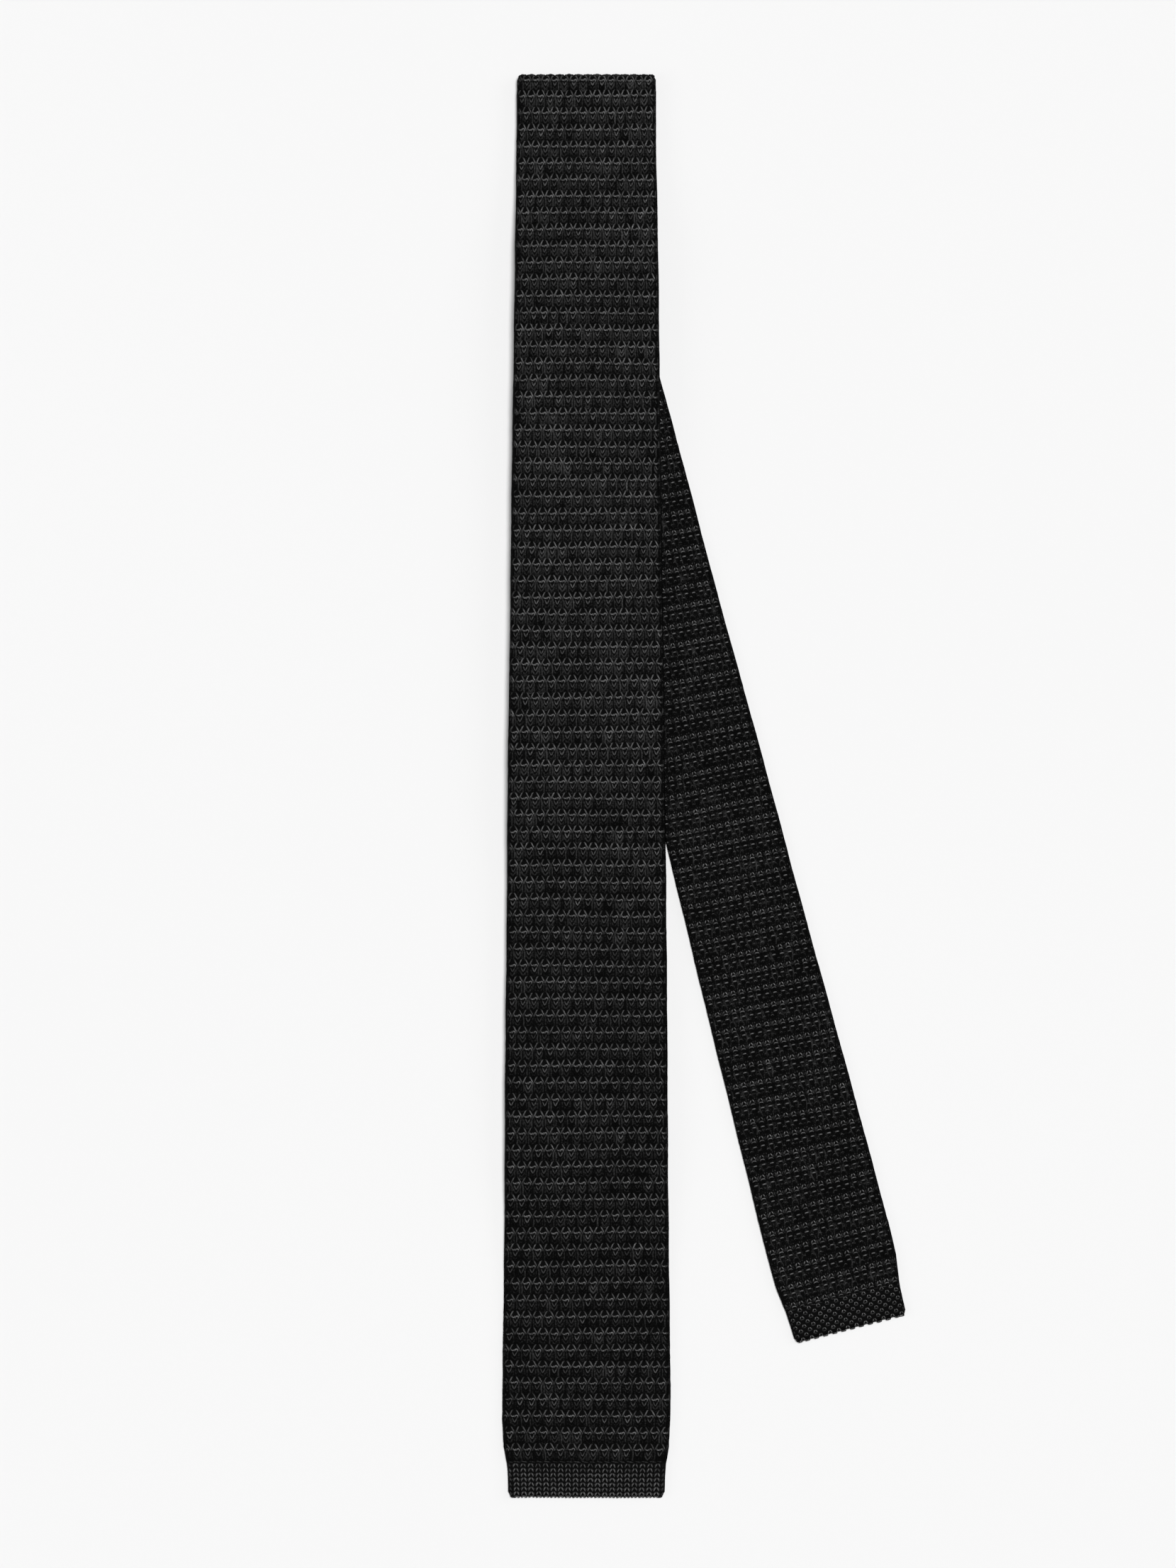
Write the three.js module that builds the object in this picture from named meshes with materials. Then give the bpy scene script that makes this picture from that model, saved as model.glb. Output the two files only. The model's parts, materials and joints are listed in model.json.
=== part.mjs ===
// Knitted silk necktie, laid flat in four layers: the wide front blade on top, two neck runs folded
// under it, and the narrow tail at the bottom, leaving the pile at an angle. Millimetres, +Z up,
// the underside of the lowest layers at z = 0.
//
// The tie is one long double-bed knitted strip: a face ply and a reverse ply that meet at both edges.
// Each straight run is a body of its own; the runs are hinged along the fold lines.
import * as THREE from 'three';

// ---------- driving dimensions (mm) ----------
const LAYER = 2.6;            // thickness of the knitted strip, both plies together
const GAP = 0.3;              // air between stacked layers and between touching pieces
const PITCH = LAYER + GAP;    // height from one layer to the next
const BLADE_PLY = 1.1;        // one ply in the blades
const NECK_PLY = 0.9;         // one ply in the neck, where a stay tape lies inside
const TAPE_T = 0.2;           // stay tape
const TAPE_W = 20.0;

const FRONT_LENGTH = 508.0;   // fold to tip of the front blade
const FRONT_HEM = 12.0;       // height of its plain hem band
const LOWER_FOLD_Y = -336.0;  // hidden fold of the two neck runs
const TAIL_FOLD_Y = -82.6;    // where the neck turns into the tail, on the centreline
const TAIL_TURN = 14.49;      // degrees between the tail and the front blade
const TAIL_LENGTH = 377.0;    // fold to tip of the tail
const TAIL_HEM = 11.0;
const FRONT_END_Y = -446.0;   // the front blade's free end bends up about this line
const TAIL_END_S = 292.0;     // the tail's free end bends up at this distance from its fold
const NOSE_R = LAYER + GAP / 2;      // outer radius of a fold
const TOP_FOLD_Y = -NOSE_R;          // hinge line of the top fold, so the fold's crown is at y = 0

// the origin is the centre of the bounding box, at its underside
const ORIGIN_X = 41.597;
const ORIGIN_Y = -254.0;

// full widths against distance from the top fold's crown (front blade)
const FRONT_WIDTH = [[0, 49.4], [75, 51.0], [150, 53.0], [227, 55.6], [348, 57.4], [429, 59.0], [468, 60.0], [480, 60.0], [490, 58.6], [495.0, 57.0]];
const FRONT_HEM_WIDTH = [[496.0, 56.0], [502, 55.4], [506, 55.0], [508, 52.6]];
// full widths along the neck, against y, and along the tail, against distance from its fold
const NECK_UPPER_WIDTH = [[0, 49.4], [120, 46.0], [240, 43.6], [336, 42.0]];
const NECK_LOWER_WIDTH = [[70, 38.0], [120, 38.2], [240, 39.6], [336, 42.0]];
const TAIL_WIDTH = [[0, 37.9], [100, 38.6], [200, 41.6], [300, 43.9], [344, 44.6], [354, 44.4], [361, 43.0], [365.0, 41.6]];
const TAIL_HEM_WIDTH = [[366.0, 40.8], [371, 40.3], [375, 40.0], [377, 37.8]];

const FACE_COLOUR = 0x1b1b1c, REVERSE_COLOUR = 0x171718, HEM_COLOUR = 0x202021, TAPE_COLOUR = 0x101012, THREAD_COLOUR = 0x141415;

// ---------- helpers ----------
const lerpTable = (table, s) => {
  if (s <= table[0][0]) return table[0][1];
  for (let i = 1; i < table.length; i++) {
    if (s <= table[i][0]) {
      const t = (s - table[i - 1][0]) / (table[i][0] - table[i - 1][0]);
      return table[i - 1][1] + t * (table[i][1] - table[i - 1][1]);
    }
  }
  return table[table.length - 1][1];
};
const smooth = (t) => { const c = Math.min(1, Math.max(0, t)); return c * c * (3 - 2 * c); };
// height step that falls from 1 at a to 0 at b, y running towards -Y
const fall = (y, a, b) => 1 - smooth((a - y) / (a - b));

// underside heights of the three upper layers: they come down to the surface at the top fold, past the
// tail where nothing lies under the neck, and past the lower fold
const TOP_DROP = [-16, -76], SIDE_DROP = [-244, -302], END_DROP = [-384, -443];
const under = (n, y) => {
  // n layers below: neck_lower 1, neck_upper 2, front blade 3
  const tail = 1 - smooth((y - TOP_DROP[1]) / (TOP_DROP[0] - TOP_DROP[1]));   // 1 over the tail fold, 0 at the top fold
  const side = fall(y, SIDE_DROP[0], SIDE_DROP[1]);
  if (n === 1) return PITCH * side;
  if (n === 2) return PITCH * (tail + Math.min(tail, side));
  const end = fall(y, END_DROP[0], END_DROP[1]);
  return PITCH * (tail + Math.min(tail, side) + 1) * end;
};

const mesh = (name, geometry, colour, roughness = 0.8) => {
  const m = new THREE.Mesh(geometry, new THREE.MeshStandardMaterial({ color: colour, roughness, metalness: 0 }));
  m.name = name;
  return m;
};

// closed solid from a chain of sections; a section is a ring of points, all rings alike and wound alike
const loft = (rings) => {
  const n = rings[0].length, p = [], tri = [];
  rings.forEach((ring) => ring.forEach((q) => p.push(...q)));
  for (let i = 0; i + 1 < rings.length; i++) {
    for (let k = 0; k < n; k++) {
      const a = i * n + k, b = i * n + (k + 1) % n, c = a + n, d = b + n;
      tri.push(a, c, b, b, c, d);
    }
  }
  const last = (rings.length - 1) * n;
  for (let k = 1; k + 1 < n; k++) {
    tri.push(0, k, k + 1);
    tri.push(last, last + k + 1, last + k);
  }
  let volume = 0;
  const at = (i) => new THREE.Vector3(p[3 * i], p[3 * i + 1], p[3 * i + 2]);
  for (let i = 0; i < tri.length; i += 3) volume += at(tri[i]).dot(at(tri[i + 1]).cross(at(tri[i + 2])));
  if (volume < 0) for (let i = 0; i < tri.length; i += 3) [tri[i + 1], tri[i + 2]] = [tri[i + 2], tri[i + 1]];
  const g = new THREE.BufferGeometry();
  g.setAttribute('position', new THREE.Float32BufferAttribute(p, 3));
  g.setIndex(tri);
  g.computeVertexNormals();
  return g;
};

// one ply: sections across the strip from a left to a right point, low and high above the section's
// underside height; outer edges are eased on the top (side +1), on the underside (-1) or on both (0)
const EASE = 0.5;
const ply = (stations, low, high, side) => loft(stations.map(({ left, right, z }) => {
  const l = new THREE.Vector2(...left), r = new THREE.Vector2(...right);
  const u = r.clone().sub(l).normalize().multiplyScalar(EASE);
  const li = l.clone().add(u), ri = r.clone().sub(u);
  const a = z + low, b = z + high, e = Math.min(EASE, (high - low) * 0.45);
  if (side > 0) return [[l.x, l.y, a], [r.x, r.y, a], [r.x, r.y, b - e], [ri.x, ri.y, b], [li.x, li.y, b], [l.x, l.y, b - e]];
  if (side < 0) return [[li.x, li.y, a], [ri.x, ri.y, a], [r.x, r.y, a + e], [r.x, r.y, b], [l.x, l.y, b], [l.x, l.y, a + e]];
  return [[li.x, li.y, a], [ri.x, ri.y, a], [r.x, r.y, a + e], [r.x, r.y, b - e], [ri.x, ri.y, b], [li.x, li.y, b], [l.x, l.y, b - e], [l.x, l.y, a + e]];
}));

// y values from a down to b: the given ones that fall between, and both ends
const between = (a, b, list) => [a, ...list.filter((y) => y < a - 1 && y > b + 1), b];
const STEPS = [];
for (let y = -16; y >= -76; y -= 7.5) STEPS.push(y);
for (let y = -244; y >= -302; y -= 7.25) STEPS.push(y);
for (let y = -384; y >= -443; y -= 7.375) STEPS.push(y);
STEPS.push(-110, -150, -190, -220, -330, -360, -468, -480, -490);
STEPS.sort((a, b) => b - a);

// stations of a run that lies along -Y on the centreline
const straight = (from, to, width, n) => between(from, to, STEPS).map((y) => {
  const h = lerpTable(width, -y) / 2;
  return { left: [-h, y], right: [h, y], z: under(n, y) };
});

const tie = new THREE.Group();
tie.position.set(-ORIGIN_X, -ORIGIN_Y, 0);
const add = (...m) => tie.add(...m);

// ---------- front blade ----------
const HALF_GAP = GAP / 2;
const frontMain = straight(TOP_FOLD_Y - HALF_GAP, FRONT_END_Y + HALF_GAP, FRONT_WIDTH, 3);
const frontEnd = straight(FRONT_END_Y - HALF_GAP, -(FRONT_LENGTH - FRONT_HEM - 1.3), FRONT_WIDTH, 3);
add(
  mesh('front_face_ply', ply(frontMain, LAYER - BLADE_PLY, LAYER, 1), FACE_COLOUR),
  mesh('front_reverse_ply', ply(frontMain, 0, BLADE_PLY, -1), REVERSE_COLOUR),
  mesh('front_end_face_ply', ply(frontEnd, LAYER - BLADE_PLY, LAYER, 1), FACE_COLOUR),
  mesh('front_end_reverse_ply', ply(frontEnd, 0, BLADE_PLY, -1), REVERSE_COLOUR),
);
// plain hem band, doubled over and closed at its ends
const hemStations = (widths, y0, place) => widths.map(([s, w]) => place(s, w / 2));
const frontHem = hemStations(FRONT_HEM_WIDTH, 0, (s, h) => ({ left: [-h, -s], right: [h, -s], z: 0 }));
add(mesh('front_hem_band', ply(frontHem, 0, LAYER, 0), HEM_COLOUR));
// linked seam between the blade's last course and the hem band
const frontSeam = [-(FRONT_LENGTH - FRONT_HEM - 1.0), -(FRONT_LENGTH - FRONT_HEM - 0.3)].map((y) => ({ left: [-27.2, y], right: [27.2, y], z: 0 }));
add(mesh('front_hem_seam', ply(frontSeam, 0.5, LAYER - 0.5, 0), THREAD_COLOUR));

// ---------- keeper loop and blank label on the front blade's reverse ----------
const box = (name, x0, x1, y0, y1, z0, z1, colour) => {
  const g = new THREE.BoxGeometry(x1 - x0, y1 - y0, z1 - z0);
  g.translate((x0 + x1) / 2, (y0 + y1) / 2, (z0 + z1) / 2);
  return mesh(name, g, colour, 0.6);
};
const KEEPER_Z = 2 * PITCH;   // underside of the front blade where the keeper is sewn
add(box('keeper_loop', -17, 17, -361, -349, KEEPER_Z - 0.9, KEEPER_Z - 0.3, REVERSE_COLOUR));
for (const [side, sign] of [['left', -1], ['right', 1]]) {
  const at = (x0, x1) => (sign > 0 ? [x0, x1] : [-x1, -x0]);
  add(box(`keeper_tack_${side}`, ...at(17.3, 19.0), -360, -350, KEEPER_Z - 1.0, KEEPER_Z - 0.3, THREAD_COLOUR));
  add(box(`label_stitch_${side}`, ...at(11.3, 12.1), -375, -363, KEEPER_Z - 0.8, KEEPER_Z - 0.3, THREAD_COLOUR));
}
add(box('blank_label', -11, 11, -376, -362.3, KEEPER_Z - 0.7, KEEPER_Z - 0.3, TAPE_COLOUR));

// ---------- neck, upper run: from the top fold down to the lower fold, face side down ----------
const neckUpper = straight(TOP_FOLD_Y - HALF_GAP, LOWER_FOLD_Y + HALF_GAP, NECK_UPPER_WIDTH, 2);
const tapeOf = (stations, inset) => stations.map(({ left, right, z }) => {
  const l = new THREE.Vector2(...left), r = new THREE.Vector2(...right), c = l.clone().add(r).multiplyScalar(0.5);
  const u = r.clone().sub(l).normalize().multiplyScalar(TAPE_W / 2);
  return { left: [c.x - u.x, c.y - u.y], right: [c.x + u.x, c.y + u.y], z };
});
const TAPE_LOW = (LAYER - TAPE_T) / 2;
add(
  mesh('neck_upper_face_ply', ply(neckUpper, 0, NECK_PLY, -1), FACE_COLOUR),
  mesh('neck_upper_reverse_ply', ply(neckUpper, LAYER - NECK_PLY, LAYER, 1), REVERSE_COLOUR),
  mesh('neck_upper_stay_tape', loft(tapeOf(neckUpper).map(({ left, right, z }) => [
    [left[0], left[1], z + TAPE_LOW], [right[0], right[1], z + TAPE_LOW],
    [right[0], right[1], z + TAPE_LOW + TAPE_T], [left[0], left[1], z + TAPE_LOW + TAPE_T]])), TAPE_COLOUR),
);

// ---------- neck, lower run: back up from the lower fold to the tail fold, face side up ----------
const TURN = THREE.MathUtils.degToRad(TAIL_TURN);
const HALF_TURN = TURN / 2;
const foldDir = new THREE.Vector2(Math.cos(HALF_TURN), Math.sin(HALF_TURN));       // along the tail fold
const foldOut = new THREE.Vector2(-foldDir.y, foldDir.x);                          // outwards over its crown
const tailDir = new THREE.Vector2(Math.sin(TURN), -Math.cos(TURN));                // along the tail
const tailSide = new THREE.Vector2(Math.cos(TURN), Math.sin(TURN));                // across it, to the right
const foldCentre = new THREE.Vector2(0, TAIL_FOLD_Y);
const foldHalf = NECK_LOWER_WIDTH[0][1] / 2 / Math.cos(HALF_TURN);                 // half the crease's length
// the two ends of the crease, set back from it
const crease = (back, z) => {
  const c = foldCentre.clone().addScaledVector(foldOut, -back);
  return { left: [c.x - foldDir.x * foldHalf, c.y - foldDir.y * foldHalf], right: [c.x + foldDir.x * foldHalf, c.y + foldDir.y * foldHalf], z };
};
const neckLower = [...straight(TAIL_FOLD_Y - 6, LOWER_FOLD_Y + HALF_GAP, NECK_LOWER_WIDTH, 1)];
neckLower.unshift(crease(HALF_GAP, under(1, TAIL_FOLD_Y)));
const tapeRings = tapeOf(neckLower.slice(1));
add(
  mesh('neck_lower_face_ply', ply(neckLower, LAYER - NECK_PLY, LAYER, 1), FACE_COLOUR),
  mesh('neck_lower_reverse_ply', ply(neckLower, 0, NECK_PLY, -1), REVERSE_COLOUR),
  mesh('neck_lower_stay_tape', loft(tapeRings.map(({ left, right, z }) => [
    [left[0], left[1], z + TAPE_LOW], [right[0], right[1], z + TAPE_LOW],
    [right[0], right[1], z + TAPE_LOW + TAPE_T], [left[0], left[1], z + TAPE_LOW + TAPE_T]])), TAPE_COLOUR),
);

// ---------- tail: from its fold out to the narrow tip, reverse side up ----------
const tailAt = (s, h) => {
  const c = foldCentre.clone().addScaledVector(tailDir, s);
  return { left: [c.x - tailSide.x * h, c.y - tailSide.y * h], right: [c.x + tailSide.x * h, c.y + tailSide.y * h], z: 0 };
};
const tailRun = (from, to, list) => [from, ...list, to].map((s) => tailAt(s, lerpTable(TAIL_WIDTH, s) / 2));
const tailMain = [crease(HALF_GAP, 0), ...tailRun(6, TAIL_END_S - HALF_GAP, [50, 100, 150, 200, 250])];
const tailEnd = tailRun(TAIL_END_S + HALF_GAP, TAIL_LENGTH - TAIL_HEM - 1.3, [320, 344, 354, 361]);
add(
  mesh('tail_face_ply', ply(tailMain, 0, BLADE_PLY, -1), FACE_COLOUR),
  mesh('tail_reverse_ply', ply(tailMain, LAYER - BLADE_PLY, LAYER, 1), REVERSE_COLOUR),
  mesh('tail_end_face_ply', ply(tailEnd, 0, BLADE_PLY, -1), FACE_COLOUR),
  mesh('tail_end_reverse_ply', ply(tailEnd, LAYER - BLADE_PLY, LAYER, 1), REVERSE_COLOUR),
  mesh('tail_hem_band', ply(TAIL_HEM_WIDTH.map(([s, w]) => tailAt(s, w / 2)), 0, LAYER, 0), HEM_COLOUR),
  mesh('tail_hem_seam', ply([TAIL_LENGTH - TAIL_HEM - 1.0, TAIL_LENGTH - TAIL_HEM - 0.3].map((s) => tailAt(s, 19.6)), 0.5, LAYER - 0.5, 0), THREAD_COLOUR),
);

// ---------- fold bends: the strip's turn from one layer to the next, half round about the hinge line ----------
const bend = (name, centre, along, out, half, z) => {
  const steps = 10, inner = 0.5, ring = [];
  for (let i = 0; i <= steps; i++) { const a = Math.PI * (0.5 - i / steps); ring.push([HALF_GAP + (NOSE_R - HALF_GAP) * Math.cos(a), NOSE_R * Math.sin(a)]); }
  for (let i = steps; i >= 0; i--) { const a = Math.PI * (0.5 - i / steps); ring.push([HALF_GAP + inner * Math.cos(a), inner * Math.sin(a)]); }
  // the ring is not convex, so its ends are closed quad by quad
  const n = ring.length, p = [], tri = [];
  for (const s of [-half, half]) for (const [o, h] of ring) p.push(centre.x + along.x * s + out.x * o, centre.y + along.y * s + out.y * o, z + h);
  for (let k = 0; k < n; k++) { const b = (k + 1) % n; tri.push(k, b, n + k, b, n + b, n + k); }
  for (let k = 0; k < steps; k++) {
    const a = k, b = k + 1, c = n - 1 - k, d = n - 2 - k;
    tri.push(a, c, b, b, c, d);
    tri.push(n + a, n + b, n + c, n + b, n + d, n + c);
  }
  let volume = 0;
  const at = (i) => new THREE.Vector3(p[3 * i], p[3 * i + 1], p[3 * i + 2]);
  for (let i = 0; i < tri.length; i += 3) volume += at(tri[i]).dot(at(tri[i + 1]).cross(at(tri[i + 2])));
  if (volume < 0) for (let i = 0; i < tri.length; i += 3) [tri[i + 1], tri[i + 2]] = [tri[i + 2], tri[i + 1]];
  const g = new THREE.BufferGeometry();
  g.setAttribute('position', new THREE.Float32BufferAttribute(p, 3));
  g.setIndex(tri);
  g.computeVertexNormals();
  return mesh(name, g, FACE_COLOUR);
};
const X = new THREE.Vector2(1, 0), UP = new THREE.Vector2(0, 1), DOWN = new THREE.Vector2(0, -1);
add(
  bend('top_fold_bend', new THREE.Vector2(0, TOP_FOLD_Y), X, UP, 24.2, LAYER + HALF_GAP),
  bend('lower_fold_bend', new THREE.Vector2(0, LOWER_FOLD_Y), X, DOWN, 20.6, LAYER + HALF_GAP),
  bend('tail_fold_bend', foldCentre, foldDir, foldOut, foldHalf - 0.4, LAYER + HALF_GAP),
);

export default tie;
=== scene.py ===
"""Knitted silk necktie: yarn loops, plies, hems and small trim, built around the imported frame."""
import json
import math

import bpy
import numpy as np
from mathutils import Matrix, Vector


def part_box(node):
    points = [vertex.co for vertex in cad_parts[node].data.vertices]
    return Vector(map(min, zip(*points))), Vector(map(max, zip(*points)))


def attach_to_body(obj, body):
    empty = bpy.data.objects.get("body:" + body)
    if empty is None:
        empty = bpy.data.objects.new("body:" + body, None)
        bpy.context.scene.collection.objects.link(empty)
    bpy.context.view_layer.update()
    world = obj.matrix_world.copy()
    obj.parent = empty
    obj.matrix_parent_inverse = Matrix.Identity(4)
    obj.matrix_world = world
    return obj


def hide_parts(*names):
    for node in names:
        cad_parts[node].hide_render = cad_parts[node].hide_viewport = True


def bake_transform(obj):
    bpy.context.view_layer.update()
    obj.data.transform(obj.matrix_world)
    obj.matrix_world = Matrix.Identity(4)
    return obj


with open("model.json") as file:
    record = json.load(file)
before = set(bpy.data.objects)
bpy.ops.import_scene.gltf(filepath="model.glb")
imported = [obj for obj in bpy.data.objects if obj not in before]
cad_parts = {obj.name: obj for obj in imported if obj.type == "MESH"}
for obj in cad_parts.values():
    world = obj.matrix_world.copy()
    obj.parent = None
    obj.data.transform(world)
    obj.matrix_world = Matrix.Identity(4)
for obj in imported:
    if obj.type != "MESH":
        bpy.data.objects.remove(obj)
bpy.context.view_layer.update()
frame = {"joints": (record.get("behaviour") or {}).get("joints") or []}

MM = 0.001

# ------------------------------------------------------------------ places, all from the frame (mm)
def node_box(n):
    lo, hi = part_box(n)
    return np.array(lo) / MM, np.array(hi) / MM


JOINT = {j["name"]: j for j in frame["joints"]}


def joint_at(name):
    return np.array(JOINT[name]["pos_m"]) / MM


T = 2.6                                    # thickness of the strip
R = T / 2
GAP = 0.3
PITCH = T + GAP
top_hinge, low_hinge, tail_hinge = joint_at("top_fold"), joint_at("lower_fold"), joint_at("tail_fold")
front_lift, tail_lift = joint_at("front_end_lift"), joint_at("tail_end_lift")
CX = top_hinge[0]                          # centreline of the front blade and the neck
Y0 = top_hinge[1] + T + GAP / 2            # crown of the top fold
NOSE = T + GAP / 2
ZT = top_hinge[2]
fold_axis = np.array(JOINT["tail_fold"]["axis"], float)
HALF_TURN = math.atan2(fold_axis[1], fold_axis[0])
TURN = 2 * HALF_TURN

FRONT_W = np.array([[0, 49.4], [75, 51.0], [150, 53.0], [227, 55.6], [348, 57.4], [429, 59.0], [468, 60.0], [480, 60.0], [490, 58.9], [495, 57.2], [496.4, 56.5],
                    [502, 55.8], [509, 55.4]])
NECK_U_W = np.array([[0, 49.4], [120, 46.0], [240, 43.6], [336, 42.0]])
NECK_L_W = np.array([[70, 38.0], [120, 38.2], [240, 39.6], [336, 42.0]])
TAIL_W = np.array([[0, 37.9], [100, 38.6], [200, 41.6], [300, 43.9], [346, 44.6], [356, 44.2], [366, 41.6], [371, 41.1], [378, 40.8]])
FRONT_LEN, FRONT_HEM, TAIL_LEN, TAIL_HEM = 508.0, 12.0, 377.0, 11.0
FRONT_END, TAIL_END = FRONT_LEN + 0.4, TAIL_LEN + 0.9      # with the yarn's own fullness at the tips


def table(tab, s):
    return np.interp(s, tab[:, 0], tab[:, 1])


def smooth(t):
    t = np.clip(t, 0, 1)
    return t * t * (3 - 2 * t)


def waves(seed, n=6, low=30.0, high=90.0):
    """A smooth field of (a, b) in mm, about -1 to 1, the same every run."""
    rng = np.random.default_rng(seed)
    k = rng.uniform(2 * math.pi / high, 2 * math.pi / low, n)
    th = rng.uniform(0, math.pi, n)
    ph = rng.uniform(0, 2 * math.pi, n)
    w = rng.uniform(0.5, 1.0, n)
    w /= np.sqrt((w ** 2).sum() / 2)

    def f(a, b):
        a, b = np.asarray(a, float)[..., None], np.asarray(b, float)[..., None]
        return (w * np.sin(k * (np.cos(th) * a + np.sin(th) * b) + ph)).sum(-1) * 0.6
    return f


lift_field = waves(11, 5, 60, 160)
edge_field = waves(12, 5, 25, 120)


def under(n, d):
    """Height of a layer's underside at distance d below the top fold's crown; n layers of strip lie below it over the tail."""
    tail = 1 - smooth((76 - d) / 60)
    side = 1 - smooth((d - 244) / 58)
    if n == 1:
        return PITCH * side
    if n == 2:
        return PITCH * (tail + np.minimum(tail, side))
    end = 1 - smooth((d - 372) / 70)
    return PITCH * (tail + np.minimum(tail, side) + 1) * end


class Run:
    """One straight run of the strip. s is the distance along it in mm, a the arc length across it from the middle."""

    def __init__(self, origin, direction, width, level, rounded_end=None, sag=0.0, over=None, fades=(), nose=None):
        self.o = np.array(origin, float)
        self.d = np.array(direction, float)
        self.x = np.array([-self.d[1], self.d[0]])  # to the right when the run heads down the page
        if self.x[0] < 0:
            self.x = -self.x
        self.width, self.level, self.end, self.sag, self.over, self.fades, self.nose = width, level, rounded_end, sag, over, fades, nose

    def half(self, s):
        w = table(self.width, s) / 2 + 0.35
        if self.end is not None:
            rc = 1.7
            over = np.clip(s - (self.end - rc), 0, rc)
            w = w - rc + np.sqrt(np.clip(rc * rc - over * over, 0, None))
        return w

    def arc(self, s):
        return table(self.width, s) / 2 + 0.35 - R + R * math.pi / 2

    def place(self, a, s, h, side, inset=0.0):
        """Points and outward normals; side +1 is the upper face and -1 the underside. inset draws the whole section in."""
        a, s, h = np.broadcast_arrays(np.asarray(a, float), np.asarray(s, float), np.asarray(h, float))
        r = R - inset
        if self.end is not None:
            lim = self.end - R
            ps = np.clip((s - lim) / R, 0, 1.75)
            sl = np.minimum(s, lim)
        else:
            ps, sl = np.zeros_like(s), s
        cs, ss = np.cos(ps), np.sin(ps)
        w = self.half(np.minimum(s, self.end) if self.end is not None else s)
        fade = np.ones_like(s)
        for f in self.fades:
            fade = fade * smooth(np.abs(s - f) / 18)
        sg = np.sign(a)
        edge = 0.14 * edge_field(sg * 40, s) * fade
        flat = np.maximum(w + edge - R, 0.5)
        pa = np.clip((np.abs(a) - flat) / R, 0, 1.95)
        ca, sa = np.cos(pa), np.sin(pa)
        x = np.where(pa > 0, sg * (flat + (r + h) * sa * cs), a)
        along = sl + (r + h) * ss
        if self.nose is not None:
            at, way, hw = self.nose
            tt = np.clip((np.abs(x) - (hw - 2.4)) / 2.4, 0, 0.995)
            lim_n = NOSE * np.sqrt(1 - tt * tt)
            along = np.maximum(along, at - lim_n) if way < 0 else np.minimum(along, at + lim_n)
        z = side * (r + h) * ca * cs
        px = self.o[0] + self.d[0] * along + self.x[0] * x
        py = self.o[1] + self.d[1] * along + self.x[1] * x
        zl = self.level(along) + R
        e = 1e-1
        slope = (self.level(along + e) - self.level(along - e)) / (2 * e)
        z = z + zl + fade * 0.1 * (1 + lift_field(x, along + 31))
        if self.sag:
            z = z - fade * self.sag * smooth((np.abs(x) - (table(self.over, s) / 2 + 0.6)) / 6) * np.clip((zl - R) / PITCH, 0, 1)
        n = np.stack([self.x[0] * sg * sa * cs + self.d[0] * ss, self.x[1] * sg * sa * cs + self.d[1] * ss, side * ca * cs], -1)
        n[..., 0] -= self.d[0] * slope * n[..., 2]  # the normal leans with the run's slope
        n[..., 1] -= self.d[1] * slope * n[..., 2]
        n /= np.maximum(np.linalg.norm(n, axis=-1, keepdims=True), 1e-9)
        return np.stack([px, py, z], -1), n


class Bend:
    """The strip's half turn about a hinge line. s runs from 0 at the upper layer's end to pi * NOSE at the lower one's; s may pass either end, onto the flats."""

    def __init__(self, centre, along, out, half, shear=0.0):
        self.c, self.u, self.o, self.h, self.shear = np.array(centre, float), np.array(along, float), np.array(out, float), half, shear

    def arc(self, s):
        return np.full_like(np.asarray(s, float), self.h - R + R * math.pi / 2)

    def place(self, a, s, h, side, inset=0.0):
        """side +1 is the outside of the bend, -1 the inside."""
        a, s, h = np.broadcast_arrays(np.asarray(a, float), np.asarray(s, float), np.asarray(h, float))
        r = R - inset
        length = math.pi * NOSE
        ang = np.clip(s, 0, length) / NOSE
        before, after = np.minimum(s, 0), np.maximum(s - length, 0)
        sg = np.sign(a)
        flat = self.h - R
        pa = np.clip((np.abs(a) - flat) / R, 0, 1.95)
        ca, sa = np.cos(pa), np.sin(pa)
        x = np.where(pa > 0, sg * (flat + (r + h) * sa), a) + self.shear * (before + after)
        mid = GAP / 2 + R
        rad = mid + side * (r + h) * ca
        out = rad * np.sin(ang) + before - after
        z = rad * np.cos(ang)
        # a little rounding in plan at the ends of the crease
        tt = np.clip((np.abs(x) - (self.h - 2.4)) / 2.4, 0, 0.995)
        out = np.where(out > 0, out * np.sqrt(1 - tt * tt), out)
        p = np.stack([self.c[0] + self.u[0] * x + self.o[0] * out, self.c[1] + self.u[1] * x + self.o[1] * out, self.c[2] + z], -1)
        no, nz = side * ca * np.sin(ang), side * ca * np.cos(ang)
        n = np.stack([self.u[0] * sg * sa + self.o[0] * no, self.u[1] * sg * sa + self.o[1] * no, nz], -1)
        n /= np.maximum(np.linalg.norm(n, axis=-1, keepdims=True), 1e-9)
        return p, n


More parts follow.
